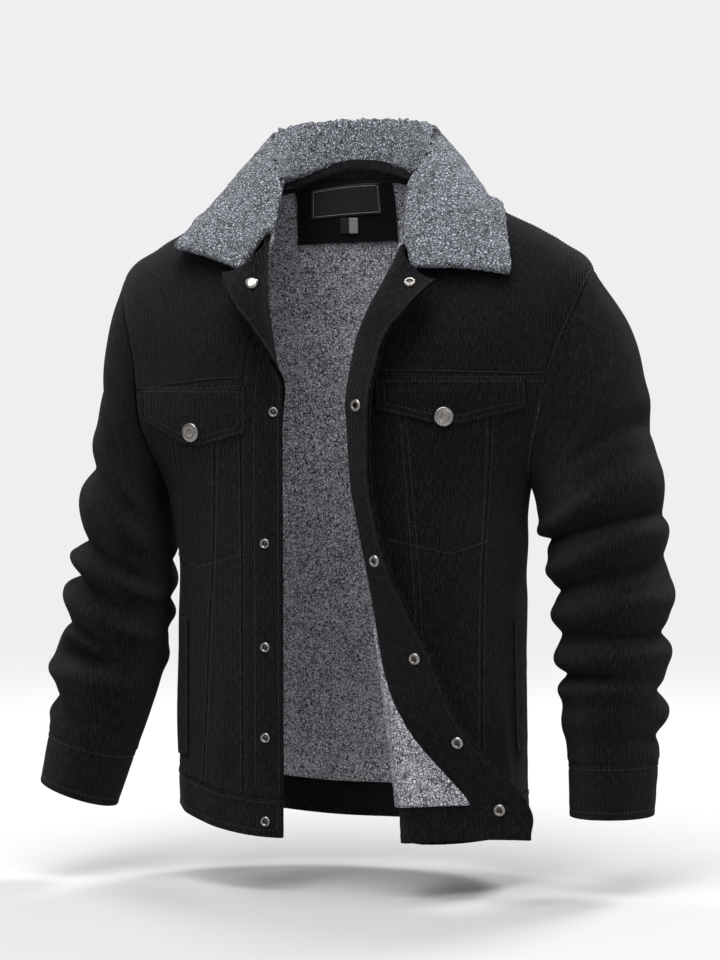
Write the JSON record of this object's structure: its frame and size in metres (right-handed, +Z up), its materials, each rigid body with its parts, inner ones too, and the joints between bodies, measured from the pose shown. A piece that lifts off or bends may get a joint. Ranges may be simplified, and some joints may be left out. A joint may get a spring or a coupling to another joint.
{
  "type": "sherpa lined corduroy jacket",
  "caption": "Open corduroy trucker jacket with a sherpa collar and lining, snap front, flap pockets and cuffs, in the hollow shape it has when worn.",
  "frame": {"origin": "middle of the neck, level with the shoulders that carry the jacket", "axes": "+Z up, -Y the wearer's front, +X the wearer's left"},
  "size_m": [0.6611, 0.282, 0.7476],
  "materials": {
    "corduroy": "fine ribbed pile, matte",
    "sherpa": "curly pile, matte",
    "patch_cloth": "plain weave, matte",
    "label_cloth": "woven, satin",
    "snap_metal": "satin"
  },
  "bodies": {
    "root": {"placket_left": "corduroy", "front_left_centre": "corduroy", "front_left_middle": "corduroy", "front_left_side": "corduroy", "yoke_left": "corduroy", "facing_left": "corduroy", "lining_left": "sherpa", "placket_right": "corduroy", "front_right_centre": "corduroy", "front_right_middle": "corduroy", "front_right_side": "corduroy", "yoke_right": "corduroy", "facing_right": "corduroy", "lining_right": "sherpa", "back": "corduroy", "lining_back": "sherpa", "waistband": "corduroy", "sleeve_left": "corduroy", "cuff_left": "corduroy", "sleeve_right": "corduroy", "cuff_right": "corduroy", "collar": "sherpa", "flap_left": "corduroy", "welt_left": "corduroy", "flap_right": "corduroy", "welt_right": "corduroy", "stud_right_1": "snap_metal", "snap_ring_left_1": "snap_metal", "snap_cap_left_1": "snap_metal", "stud_right_2": "snap_metal", "snap_ring_left_2": "snap_metal", "snap_cap_left_2": "snap_metal", "stud_right_3": "snap_metal", "snap_ring_left_3": "snap_metal", "snap_cap_left_3": "snap_metal", "stud_right_4": "snap_metal", "snap_ring_left_4": "snap_metal", "snap_cap_left_4": "snap_metal", "stud_right_5": "snap_metal", "snap_ring_left_5": "snap_metal", "snap_cap_left_5": "snap_metal", "snap_back_right_6": "snap_metal", "snap_ring_left_6": "snap_metal", "snap_cap_left_6": "snap_metal", "pocket_snap_left": "snap_metal", "pocket_snap_right": "snap_metal", "hanger_patch": "patch_cloth", "neck_label": "label_cloth", "size_tag_right": "label_cloth", "size_tag_left": "label_cloth", "neck_band": "corduroy"}
  },
  "joints": []
}
